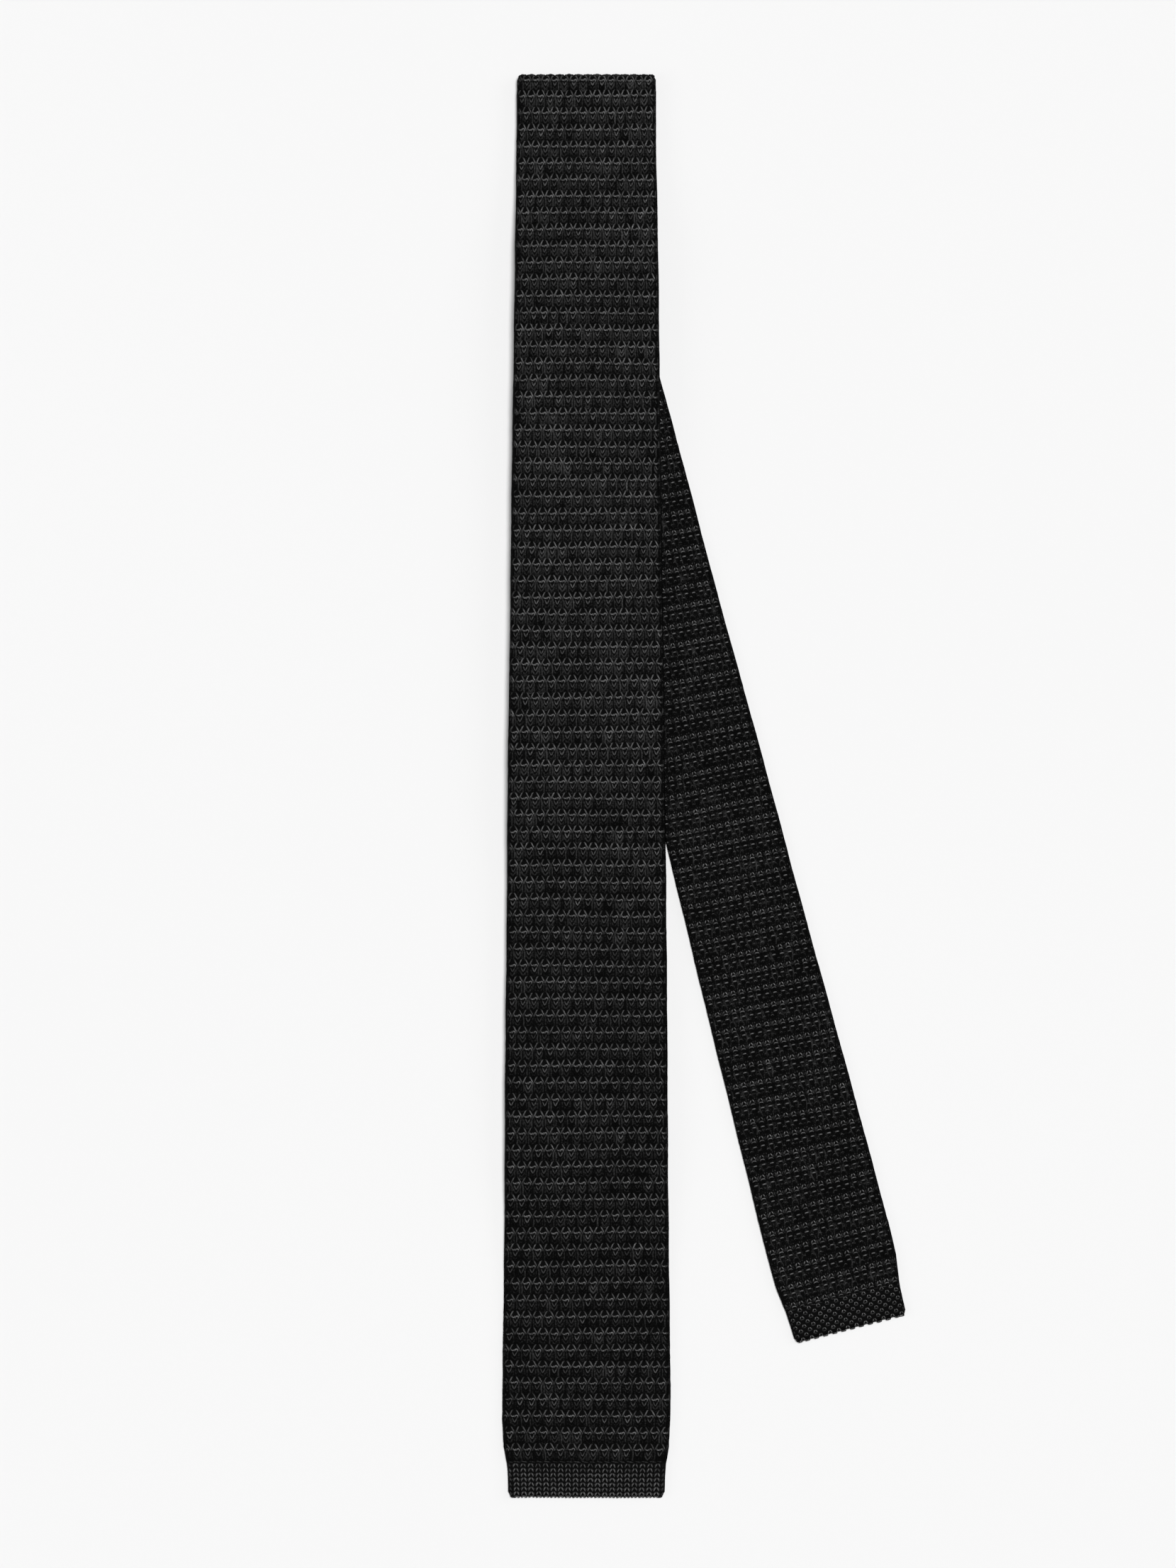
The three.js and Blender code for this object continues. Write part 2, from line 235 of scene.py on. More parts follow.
# ------------------------------------------------------------------ meshes
def new_mesh(name, verts, faces4, faces3, uvs=None, tone=None, mat=None):
    """verts in mm; quads and triangles as index arrays; uvs maps a layer's name to per-vertex coordinates."""
    me = bpy.data.meshes.new(name)
    nv, n4, n3 = len(verts), len(faces4), len(faces3)
    me.vertices.add(nv)
    me.vertices.foreach_set("co", (np.asarray(verts) * MM).astype(np.float32).ravel())
    loops = np.concatenate([np.asarray(faces4, np.int32).ravel(), np.asarray(faces3, np.int32).ravel()])
    me.loops.add(len(loops))
    me.loops.foreach_set("vertex_index", loops)
    me.polygons.add(n4 + n3)
    start = np.concatenate([np.arange(n4) * 4, n4 * 4 + np.arange(n3) * 3]).astype(np.int32)
    me.polygons.foreach_set("loop_start", start)
    me.update(calc_edges=True)
    me.validate(clean_customdata=False)
    me.polygons.foreach_set("use_smooth", np.ones(len(me.polygons), bool))
    for layer, uv in (uvs or {}).items():
        l = me.uv_layers.new(name=layer)
        l.uv.foreach_set("vector", np.asarray(uv, np.float32)[loops].ravel())
    if tone is not None:
        at = me.attributes.new("tone", "FLOAT", "POINT")
        at.data.foreach_set("value", np.asarray(tone, np.float32))
    ob = bpy.data.objects.new(name, me)
    bpy.context.scene.collection.objects.link(ob)
    if mat is not None:
        me.materials.append(mat)
    return ob


def join_parts(parts):
    """parts: (verts, quads, tris, yarn uv, bake uv, tone) tuples."""
    off, V, Q, F, U, B, C = 0, [], [], [], [], [], []
    for v, q, f, u, b, c in parts:
        V.append(v); Q.append(q + off); F.append(f + off); U.append(u); B.append(b); C.append(c)
        off += len(v)
    return (np.concatenate(V), np.concatenate(Q), np.concatenate(F), np.concatenate(U), np.concatenate(B), np.concatenate(C))


def tubes(P, N, r, sides, tone, ab, flat=0.86):
    """P, N (n, m, 3): paths and surface normals; r (m,) or (n, m) radii. Each tube is closed with a point at both ends."""
    n, m, _ = P.shape
    t = np.empty_like(P)
    t[:, 1:-1] = P[:, 2:] - P[:, :-2]
    t[:, 0], t[:, -1] = P[:, 1] - P[:, 0], P[:, -1] - P[:, -2]
    t /= np.maximum(np.linalg.norm(t, axis=-1, keepdims=True), 1e-9)
    s = np.cross(t, N)
    s /= np.maximum(np.linalg.norm(s, axis=-1, keepdims=True), 1e-9)
    u = np.cross(s, t)
    r = np.broadcast_to(r, (n, m)).copy()
    r[:, 0] *= 0.55
    r[:, -1] *= 0.55
    th = np.arange(sides) * 2 * math.pi / sides + math.pi / 2
    ring = (P[:, :, None] + r[:, :, None, None] * (np.cos(th)[None, None, :, None] * s[:, :, None] + flat * np.sin(th)[None, None, :, None] * u[:, :, None]))
    tip0 = P[:, 0] - t[:, 0] * r[:, :1]
    tip1 = P[:, -1] + t[:, -1] * r[:, -1:]
    per = m * sides + 2
    V = np.concatenate([ring.reshape(n, m * sides, 3), tip0[:, None], tip1[:, None]], 1).reshape(-1, 3)
    k = np.arange(sides)
    k1 = (k + 1) % sides
    i = np.arange(m - 1)[:, None]
    q = np.stack([i * sides + k, (i + 1) * sides + k, (i + 1) * sides + k1, i * sides + k1], -1).reshape(-1, 4)
    f0 = np.stack([k, k1, np.full(sides, m * sides)], -1)
    f1 = np.stack([(m - 1) * sides + k1, (m - 1) * sides + k, np.full(sides, m * sides + 1)], -1)
    f = np.concatenate([f0, f1])
    base = (np.arange(n) * per)[:, None, None]
    Q = (q[None] + base).reshape(-1, 4)
    F = (f[None] + base).reshape(-1, 3)
    seg = np.linalg.norm(np.diff(P, axis=1), axis=-1)
    length = np.concatenate([np.zeros((n, 1)), np.cumsum(seg, 1)], 1)
    U = np.stack(np.broadcast_arrays(length[:, :, None], (k / sides)[None, None]), -1).reshape(n, m * sides, 2)
    U = np.concatenate([U, np.stack([length[:, 0] * 0, length[:, 0] * 0], -1)[:, None], np.stack([length[:, -1], length[:, 0] * 0], -1)[:, None]], 1).reshape(-1, 2)
    # a second map: the strip's own plan, each yarn spread by its width
    off = r[:, :, None, None] * 0.9 * np.stack([np.cos(th), np.sin(th) * 0.35], -1)[None, None]
    B = (ab[:, :, None] + off).reshape(n, m * sides, 2)
    B = np.concatenate([B, ab[:, :1], ab[:, -1:]], 1).reshape(-1, 2)
    tone = np.broadcast_to(tone if np.ndim(tone) > 1 else np.asarray(tone)[:, None], (n, m))
    C = np.concatenate([np.repeat(tone, sides, 1), tone[:, :1], tone[:, -1:]], 1).ravel()
    return V, Q, F, U, B, C


def spline(path, m):
    """Resamples a list of (x, y, h[, r]) to m points on a smooth curve, evenly along it."""
    p = np.array(path, float)
    k = len(p)
    ext = np.vstack([2 * p[0] - p[1], p, 2 * p[-1] - p[-2]])
    out = []
    for i in range(k - 1):
        a, b, c, d = ext[i], ext[i + 1], ext[i + 2], ext[i + 3]
        for t in np.linspace(0, 1, 12, endpoint=False):
            out.append(0.5 * ((2 * b) + (c - a) * t + (2 * a - 5 * b + 4 * c - d) * t * t + (3 * b - a - 3 * c + d) * t ** 3))
    out.append(p[-1])
    out = np.array(out)
    L = np.concatenate([[0], np.cumsum(np.linalg.norm(np.diff(out[:, :2] / 100, axis=0), axis=1) + 1e-6)])
    at = np.linspace(0, L[-1], m)
    return np.stack([np.interp(at, L, out[:, j]) for j in range(out.shape[1])], -1)


# A pattern: unit cell (width, height in drawing units), strokes. A stroke is (path of (x, y, h), radius mm, points,
# detail level, lightness); the lightness is painted light on one black yarn, lighter for raised strokes as painted
# highlight and darker for recessed ones as painted shade. A stroke is (path of (x, y, h), radius mm, points, detail
# level, lightness)
# x goes across, y down towards the strip's end, h is the yarn's middle above the strip's nominal surface, in mm.
FRONT_CELL = (280.0, 465.0, [
    # from the foot of one Y up its right arm, round the top of the hole, and down the left arm of the next Y
    ([(4, 214, -.7), (14, 156, -.4), (30, 112, -.22), (50, 70, -.15), (66, 28, -.13), (84, -2, -.3), (112, -24, -.62), (140, -34, -.95), (168, -24, -.62), (194, -2, -.3), (212, 28, -.15),
      (232, 70, -.15), (252, 112, -.2), (268, 156, -.4), (276, 214, -.7)], .275, 17, 0, .62),
    # left head of the crown
    ([(56, 112, -.6), (64, 136, -.32), (82, 156, -.17), (104, 160, -.12), (124, 150, -.22), (138, 124, -.5)], .28, 8, 0, 0.84),
    # right head of the crown
    ([(134, 190, -.55), (150, 158, -.28), (170, 132, -.15), (194, 120, -.14), (212, 134, -.18), (222, 170, -.34), (216, 210, -.58)], .28, 9, 0, 0.86),
    # small bright V
    ([(84, 190, -.56), (98, 238, -.3), (118, 280, -.22), (136, 312, -.2), (144, 328, -.3), (154, 310, -.24), (172, 270, -.21), (188, 232, -.24), (200, 194, -.5)], .25, 11, 0, 0.58),
    # recessed V under it
    ([(52, 200, -.7), (56, 290, -.5), (82, 352, -.46), (118, 404, -.44), (141, 432, -.48), (164, 404, -.44), (198, 350, -.46), (226, 290, -.5), (230, 200, -.7)], .38, 9, 0, 0.45),
    ([(66, 372, -.74), (104, 440, -.6), (141, 500, -.6), (178, 440, -.6), (216, 372, -.74)], .38, 6, 1, 0.42),
    ([(80, 110, -.9), (100, 160, -.66), (141, 220, -.6), (141, 300, -.6), (141, 380, -.74)], .4, 6, 0, 0.3),
    # long held legs below the Y
    ([(-2, 130, -.68), (-22, 206, -.5), (-34, 268, -.42), (-36, 330, -.46), (-30, 398, -.52), (-22, 480, -.7)], .36, 8, 0, 0.46),
    ([(2, 130, -.68), (22, 206, -.5), (34, 268, -.42), (36, 330, -.46), (30, 398, -.52), (22, 480, -.7)], .36, 8, 0, 0.46),
])
TAIL_CELL = (240.0, 523.0, [
    ([(-64, 44, -.62), (-56, 12, -.28), (-44, -18, -.17), (-28, -40, -.26), (-14, -28, -.56)], .22, 7, 0, 0.85),
    ([(6, -34, -.56), (22, -48, -.22), (38, -24, -.16), (50, 8, -.28), (60, 44, -.62)], .22, 7, 0, 0.85),
    ([(-70, 104, -.7), (-54, 74, -.36), (-30, 60, -.19), (0, 57, -.17), (30, 60, -.19), (52, 72, -.36), (68, 104, -.7)], .235, 9, 0, 0.8),
    ([(102, -44, -.62), (95, -14, -.4), (96, 28, -.34), (105, 62, -.42), (114, 88, -.62)], .25, 7, 0, 0.44),
    ([(126, -50, -.6), (141, -22, -.38), (147, 20, -.34), (142, 60, -.42), (132, 94, -.62)], .25, 7, 0, 0.44),
    ([(80, -62, -.6), (84, -82, -.28), (94, -104, -.6)], .22, 5, 0, 0.5),
    ([(146, -60, -.6), (151, -84, -.28), (146, -108, -.6)], .22, 5, 0, 0.5),
    ([(-50, 226, -.7), (-38, 208, -.32), (-16, 203, -.16), (4, 205, -.16), (24, 200, -.17), (40, 204, -.32), (50, 224, -.7)], .26, 8, 0, 1.1),
    ([(74, 350, -.7), (86, 324, -.4), (102, 308, -.28), (122, 304, -.26), (142, 310, -.3), (156, 326, -.42), (166, 352, -.7)], .165, 8, 0, 0.7),
    # recessed yarn between the bars
    ([(-52, 112, -.72), (-70, 168, -.6), (-80, 236, -.56), (-70, 306, -.56), (-48, 372, -.6), (-24, 436, -.74)], .36, 7, 0, 0.5),
    ([(52, 112, -.72), (70, 168, -.6), (80, 236, -.56), (70, 306, -.56), (48, 372, -.6), (24, 436, -.74)], .36, 7, 0, 0.5),
    ([(-24, 96, -.74), (-18, 140, -.64), (0, 168, -.62), (18, 140, -.64), (24, 96, -.74)], .3, 6, 1, 0.44),
    ([(98, 110, -.74), (112, 180, -.62), (119, 262, -.6), (106, 352, -.64), (94, 430, -.74)], .34, 6, 1, 0.48),
    ([(144, 110, -.74), (130, 180, -.62), (123, 262, -.6), (136, 352, -.64), (148, 430, -.74)], .34, 6, 1, 0.48),
    ([(-44, 262, -.74), (-20, 300, -.62), (0, 352, -.6), (20, 300, -.62), (44, 262, -.74)], .34, 6, 1, 0.46),
])
JERSEY = (100.0, 100.0, [
    ([(14, 94, -.64), (19, 74, -.36), (26, 48, -.17), (34, 24, -.22), (42, 4, -.6)], .26, 6, 0, 0.88),
    ([(86, 94, -.64), (81, 74, -.36), (74, 48, -.17), (66, 24, -.22), (58, 4, -.6)], .26, 6, 0, 0.88),
    ([(0, 60, -.66), (20, 34, -.54), (50, 20, -.5), (80, 34, -.54), (100, 60, -.66)], .3, 5, 0, 0.7),
])
JERSEY_FLAT = (100.0, 100.0, [
    ([(14, 104, .02), (22, 78, .1), (32, 46, .16), (42, 18, .14), (50, -6, .04)], .2, 6, 0, 0.6),
    ([(86, 104, .02), (78, 78, .1), (68, 46, .16), (58, 18, .14), (50, -6, .04)], .2, 6, 0, 0.6),
])
SEAM = (100.0, 100.0, [
    ([(0, 30, -.62), (18, 34, -.4), (50, 50, -.34), (82, 66, -.4), (100, 70, -.62)], .2, 6, 0, 0.5),
    ([(8, 78, -.62), (30, 62, -.44), (56, 40, -.4), (80, 24, -.62)], .17, 5, 1, 0.3),
])
PURL = (232.0, 200.0, [
    ([(-56, 66, -.6), (-40, 34, -.36), (-31, 2, -.22), (-24, -28, -.2), (-8, -46, -.36), (0, -50, -.5)], .2, 8, 0, 0.95),
    ([(0, -50, -.5), (10, -44, -.34), (24, -30, -.2), (33, 2, -.22), (42, 34, -.36), (58, 66, -.6)], .2, 8, 0, 0.95),
    ([(-60, 50, -.56), (-30, 88, -.38), (0, 100, -.36), (30, 88, -.38), (60, 50, -.56)], .22, 6, 0, 0.62),
])


def knit(surface, cell, columns, q, first, lo, hi, side=1, flip=1, phase=0.1, stagger=True, sides=6, level=2, seed=1, slack=1.0, thick=1.0, sink=None, mirror=1, shade=None, s_min=-1e9, s_max=1e9):
    """Loops of one pattern over a face. Row k starts at s = first + q * k and runs towards +s (flip 1) or -s; strokes whose middle is between lo and hi are made."""
    cw, ch, strokes = cell
    rng = np.random.default_rng(seed)
    parts = []
    ks = np.arange(int(math.floor((lo - first) / q)) - 2, int(math.ceil((hi - first) / q)) + 3)
    half_n = int(math.ceil(columns / 2)) + 1
    I, K = np.meshgrid(np.arange(-half_n, half_n + 1), ks, indexing="ij")
    I, K = I.ravel(), K.ravel()
    st = np.where(K % 2 == 1, 0.5, 0.0) if stagger else np.zeros(len(K))
    bow, sway = waves(305, 5, 40, 150), waves(306, 5, 40, 150)
    jx, jy, jh = (rng.normal(0, 1, (3, len(I))))
    cell_tone = rng.normal(0, 1, len(I))
    for path, rad, m, lod, light in strokes:
        if lod > level:
            continue
        if level < 2:
            m = max(4, int(round(m * (0.8 if level == 1 else 0.62))))
        p = spline(path, m)
        x, y, h = p[:, 0] * mirror, p[:, 1], p[:, 2]
        s0 = (first + q * K)[:, None] + flip * y[None] / ch * q
        n = len(I)
        wob = rng.normal(0, 1, (3, n))
        u = (I + st + phase)[:, None] + x[None] / cw + (0.011 * (jx + 0.8 * wob[0]))[:, None] * slack
        sm = s0.mean(1)
        arc_m = surface.arc(sm)
        a_m = u.mean(1) * 2 * arc_m / columns
        inside = (sm >= lo) & (sm < hi) & (np.abs(a_m) <= arc_m - 0.1)
        u, s0, jj = u[inside], s0[inside], np.flatnonzero(inside)
        if not len(u):
            continue
        arc = surface.arc(s0)
        a = u * 2 * arc / columns
        s = s0 + (0.045 * (jy[jj] + 0.8 * wob[1][jj]))[:, None] * slack + 0.25 * bow(a, s0 + 500) * slack
        a = a + 0.14 * sway(a, s0) * slack
        s = np.clip(s, s_min, s_max)
        rim = arc - 0.8 * R * math.pi / 2
        a = np.clip(a, -rim, rim)
        hh = h[None] + (0.028 * jh[jj] + 0.02 * wob[2][jj])[:, None] + np.zeros_like(s)
        if sink is not None:
            hh = hh - sink(s)
        P, N = surface.place(a, s, hh, side)
        r = rad * thick * (1 + 0.07 * rng.normal(0, 1, (len(a), 1))) * (1 + 0.05 * np.sin(np.linspace(0, 9, m))[None])
        # painted shade: on top of each stroke's painted lightness, the tone falls with the yarn's depth below the
        # surface, darkening recessed yarn; cell_tone and the noise vary at random
        tone = (light + 0.03 * cell_tone[jj] + 0.08 * rng.normal(0, 1, len(a)))[:, None] + 1.0 * np.minimum(hh + 0.22, 0.08) + (0 if shade is None else shade(s))
        # painted shade: the loops darken over the strip's rounded edges
        tone = tone - 0.5 * smooth((np.abs(a) - (rim - 1.1)) / 1.1)
        parts.append(tubes(P, N, r, sides, np.clip(tone, 0, 1), np.stack([a, s], -1)))
    return parts


def bake_uv(b):
    lo, hi = b.min(0), b.max(0)
    k = 0.98 / max((hi - lo).max(), 1e-6)
    return (b - lo) * k + 0.01


def knit_object(name, parts, mat):
    v, q, f, u, b, c = join_parts(parts)
    return new_mesh(name, v, q, f, {"OFBake": bake_uv(b), "Yarn": u}, c, mat)


def ground(name, surface, s_list, side, mat, inset=0.72, inner=0.14, nx=28, relief=0.05, seed=3, closed_low=True):
    """The dense body of one ply under its loops: outer face inset from the nominal surface, inner face near the strip's middle."""
    f = waves(seed, 8, 3.0, 9.0)
    rings = []
    for s in s_list:
        arc = float(surface.arc(np.array(s)))
        a = np.linspace(-arc, arc, nx)
        # denser towards the edges
        a = arc * np.sin(a / arc * math.pi / 2) * 0.35 + a * 0.65
        rim = smooth((np.abs(a) - (arc - R * math.pi / 2)) / (R * math.pi / 2))
        pos, _ = surface.place(a, np.full(nx, s), relief * f(a, np.full(nx, s)) + 0.3 * rim, side, inset=inset)
        # inner face: straight back across, a little off the middle plane
        ai = a[::-1]
        lim = arc - R * math.pi / 2 - 0.1
        pin, _ = surface.place(np.clip(ai, -lim, lim), np.full(nx, s), np.zeros(nx), side, inset=R - inner)
        rings.append(np.vstack([pos, pin[1:-1]]))
    rings = np.array(rings)
    m, n, _ = rings.shape
    V = rings.reshape(-1, 3)
    i, k = np.meshgrid(np.arange(m - 1), np.arange(n), indexing="ij")
    k1 = (k + 1) % n
    Q = np.stack([i * n + k, i * n + k1, (i + 1) * n + k1, (i + 1) * n + k], -1).reshape(-1, 4)
    # end faces, quad by quad between outer and inner points
    caps = []
    for base, flip in ((0, 1), ((m - 1) * n, 0)):
        for j in range(nx - 1):
            o0, o1 = base + j, base + j + 1
            i0 = base + (n - j) if j > 0 else base + 0
            i1 = base + (n - j - 1) if j + 1 < nx - 1 else base + nx - 1
            face = [o0, o1, i1, i0]
            face = [v for t, v in enumerate(face) if v != face[t - 1]]
            caps.append(face[::-1] if flip else face)
    q4 = [c for c in caps if len(c) == 4]
    q3 = [c for c in caps if len(c) == 3]
    Q = np.concatenate([Q, np.array(q4, int).reshape(-1, 4)])
    F = np.array(q3, int).reshape(-1, 3)
    d = np.linspace(0, 1, m)
    uv = np.stack(np.broadcast_arrays(np.linspace(0, 1, n)[None, :], d[:, None]), -1).reshape(-1, 2)
    ob = new_mesh(name, V, Q, F, {"OFBake": uv * 0.98 + 0.01}, np.full(len(V), 0.4), mat)
    fix_normals(ob)
    return ob


def fix_normals(ob):
    import bmesh
    bm = bmesh.new()
    bm.from_mesh(ob.data)
    bmesh.ops.recalc_face_normals(bm, faces=bm.faces)
    if bm.calc_volume(signed=True) < 0:
        bmesh.ops.reverse_faces(bm, faces=bm.faces)
    bm.to_mesh(ob.data)
    bm.free()


# ------------------------------------------------------------------ materials
def nodes_of(name):
    m = bpy.data.materials.new(name)
    m.use_nodes = True
    nt = m.node_tree
    nt.nodes.clear()
    out = nt.nodes.new("ShaderNodeOutputMaterial")
    b = nt.nodes.new("ShaderNodeBsdfPrincipled")
    nt.links.new(b.outputs[0], out.inputs[0])
    return m, nt, b


def silk(name, dark, light, rough, sheen, spec=0.5, twist=0.25, scale=1.0, deep_rough=0.3, vary=1.0):
    """Black silk yarn: tone changes from stitch to stitch and in broad patches, twisted plies, a soft lustre. The tone
    attribute also carries painted shade and painted highlight, darker for recessed yarn and the strip's edges, lighter
    for raised yarn, and the specular level follows it.
    """
    m, nt, b = nodes_of(name)
    N, L = nt.nodes.new, nt.links.new

    def maths(op, x, y, z=None):
        n = N("ShaderNodeMath")
        n.operation = op
        for i, v in enumerate((x, y, z)):
            if v is None:
                continue
            if isinstance(v, (int, float)):
                n.inputs[i].default_value = v
            else:
                L(v, n.inputs[i])
        return n.outputs[0]

    tone = N("ShaderNodeAttribute"); tone.attribute_name = "tone"
    co = N("ShaderNodeTexCoord")
    patch = N("ShaderNodeTexNoise"); patch.inputs["Scale"].default_value = 26; patch.inputs["Detail"].default_value = 3
    L(co.outputs["Object"], patch.inputs["Vector"])
    fine = N("ShaderNodeTexNoise"); fine.inputs["Scale"].default_value = 1600; fine.inputs["Detail"].default_value = 4
    L(co.outputs["Object"], fine.inputs["Vector"])
    v = maths("MULTIPLY_ADD", tone.outputs["Fac"], 0.84, maths("MULTIPLY_ADD", patch.outputs["Fac"], 0.5 * vary, -0.2 * vary))
    v = maths("ADD", v, maths("MULTIPLY_ADD", fine.outputs["Fac"], 0.8, -0.39))
    ramp = N("ShaderNodeValToRGB")
    ramp.color_ramp.elements[0].position, ramp.color_ramp.elements[1].position = 0.1, 0.95
    ramp.color_ramp.elements[0].color = (*dark, 1)
    ramp.color_ramp.elements[1].color = (*light, 1)
    mid = ramp.color_ramp.elements.new(0.5)
    mid.color = (*[0.78 * d + 0.22 * l for d, l in zip(dark, light)], 1)
    L(v, ramp.inputs[0])
    L(ramp.outputs[0], b.inputs["Base Color"])
    rr = maths("MULTIPLY_ADD", tone.outputs["Fac"], -deep_rough, rough + deep_rough)
    rr = maths("ADD", rr, maths("MULTIPLY_ADD", fine.outputs["Fac"], 0.16, -0.08))
    clamp = N("ShaderNodeClamp"); clamp.inputs["Min"].default_value = 0.15; clamp.inputs["Max"].default_value = 0.95
    L(rr, clamp.inputs["Value"]); L(clamp.outputs[0], b.inputs["Roughness"])
    # two-ply twist along each yarn
    uv = N("ShaderNodeUVMap"); uv.uv_map = "Yarn"
    sep = N("ShaderNodeSeparateXYZ"); L(uv.outputs[0], sep.inputs[0])
    a = maths("MULTIPLY_ADD", sep.outputs[1], 2.0, maths("MULTIPLY", sep.outputs[0], 1.0 * scale))
    w = maths("SINE", maths("MULTIPLY", a, 2 * math.pi), 0.0)
    hgt = maths("MULTIPLY_ADD", w, 0.5, fine.outputs["Fac"])
    bump = N("ShaderNodeBump"); bump.inputs["Strength"].default_value = twist; bump.inputs["Distance"].default_value = 0.0001
    L(hgt, bump.inputs["Height"]); L(bump.outputs[0], b.inputs["Normal"])
    glint = N("ShaderNodeClamp"); glint.inputs["Min"].default_value = 0.06; glint.inputs["Max"].default_value = 1.0
    L(maths("MULTIPLY_ADD", v, 1.1 * spec, 0.06 * spec), glint.inputs["Value"]); L(glint.outputs[0], b.inputs["Specular IOR Level"])
    b.inputs["Sheen Weight"].default_value = sheen
    b.inputs["Sheen Roughness"].default_value = 0.35
    return m


def woven(name, dark, light, threads_per_m, rough=0.7):
    """Woven tape or label: plain weave seen as a fine check of raised threads."""
    m, nt, b = nodes_of(name)
    N, L = nt.nodes.new, nt.links.new
    co = N("ShaderNodeTexCoord")
    w1 = N("ShaderNodeTexWave"); w1.bands_direction = "X"; w1.inputs["Scale"].default_value = threads_per_m / 20; w1.inputs["Distortion"].default_value = 0.4
    w2 = N("ShaderNodeTexWave"); w2.bands_direction = "Y"; w2.inputs["Scale"].default_value = threads_per_m / 20; w2.inputs["Distortion"].default_value = 0.4
    n = N("ShaderNodeTexNoise"); n.inputs["Scale"].default_value = 60
    for t in (w1, w2, n):
        L(co.outputs["Object"], t.inputs["Vector"])
    mul = N("ShaderNodeMath"); mul.operation = "MULTIPLY"
    L(w1.outputs["Fac"], mul.inputs[0]); L(w2.outputs["Fac"], mul.inputs[1])
    add = N("ShaderNodeMath"); add.operation = "MULTIPLY_ADD"; add.inputs[1].default_value = 0.4
    L(n.outputs["Fac"], add.inputs[0]); L(mul.outputs[0], add.inputs[2])
    ramp = N("ShaderNodeValToRGB")
    ramp.color_ramp.elements[0].color = (*dark, 1); ramp.color_ramp.elements[1].color = (*light, 1)
    L(add.outputs[0], ramp.inputs[0]); L(ramp.outputs[0], b.inputs["Base Color"])
    rr = N("ShaderNodeMapRange"); rr.inputs["To Min"].default_value = rough - 0.08; rr.inputs["To Max"].default_value = rough + 0.08
    L(n.outputs["Fac"], rr.inputs["Value"]); L(rr.outputs[0], b.inputs["Roughness"])
    bump = N("ShaderNodeBump"); bump.inputs["Strength"].default_value = 0.3; bump.inputs["Distance"].default_value = 0.0001
    L(mul.outputs[0], bump.inputs["Height"]); L(bump.outputs[0], b.inputs["Normal"])
    return m


FACE = silk("face_yarn", (0.0010, 0.0010, 0.0010), (0.102, 0.102, 0.1025), 0.36, 0.0, spec=0.5, twist=0.5, deep_rough=0.5, vary=0.16)
BACK = silk("reverse_yarn", (0.0010, 0.0010, 0.0010), (0.100, 0.100, 0.1005), 0.36, 0.0, spec=0.5, twist=0.5, deep_rough=0.5, vary=0.25)
HEM = silk("hem_yarn", (0.0010, 0.0010, 0.0010), (0.096, 0.096, 0.0965), 0.36, 0.0, spec=0.5, twist=0.5, deep_rough=0.5, vary=0.2)
# painted shade: the plies' bodies are near-black, far darker than the yarn, standing in for the shade seen down the
# holes between the loops; the keeper band uses it too
BODY = silk("ply_body", (0.0010, 0.0010, 0.0010), (0.0032, 0.0032, 0.0032), 0.8, 0.0, spec=0.05, twist=0.1, deep_rough=0.1)
THREAD = silk("sewing_thread", (0.004, 0.004, 0.0041), (0.03, 0.03, 0.0305), 0.45, 0.0, scale=2.5)
TAPE = woven("stay_tape_weave", (0.006, 0.006, 0.006), (0.02, 0.02, 0.02), 1800)
LABEL = woven("label_weave", (0.008, 0.008, 0.009), (0.03, 0.03, 0.033), 4000, 0.45)

# ------------------------------------------------------------------ the runs
DOWN = np.array([0.0, -1.0])
tail_dir = np.array([math.sin(TURN), -math.cos(TURN)])
TOP_S = NOSE                                   # where the flat runs begin, below the crown
LOW_S = Y0 - low_hinge[1]
TF_S = Y0 - tail_hinge[1]
LIFT_S = Y0 - front_lift[1]
TLIFT_S = float(np.linalg.norm(tail_lift[:2] - tail_hinge[:2]))
front = Run((CX, Y0), DOWN, FRONT_W, lambda d: under(3, d), rounded_end=FRONT_END, sag=0.9, over=NECK_U_W, fades=(TOP_S,), nose=(TOP_S, -1, 24.9))
neck_u = Run((CX, Y0), DOWN, NECK_U_W, lambda d: under(2, d), sag=0.5, over=NECK_L_W, fades=(TOP_S, LOW_S))
neck_l = Run((CX, Y0), DOWN, NECK_L_W, lambda d: under(1, d), fades=(TF_S, LOW_S))
tail = Run(tail_hinge[:2], tail_dir, TAIL_W, lambda d: np.zeros_like(np.asarray(d, float)), rounded_end=TAIL_END, fades=(0.0,))

top_bend = Bend((CX, top_hinge[1], top_hinge[2]), (1, 0), (0, 1), 25.0)
low_bend = Bend((CX, low_hinge[1], low_hinge[2]), (1, 0), (0, -1), 21.3)
fold_dir = np.array([math.cos(HALF_TURN), math.sin(HALF_TURN)])
fold_out = np.array([-fold_dir[1], fold_dir[0]])
tail_bend = Bend((tail_hinge[0], tail_hinge[1], tail_hinge[2]), fold_dir, fold_out, 19.3 / math.cos(HALF_TURN), math.tan(HALF_TURN))
BEND = math.pi * NOSE
EXT = 3.5                                      # how far a fold's own plies run on past its half turn

Q_FRONT, Q_TAIL = 5.96, 6.63
N_FRONT, N_TAIL = 15.4, 15.4


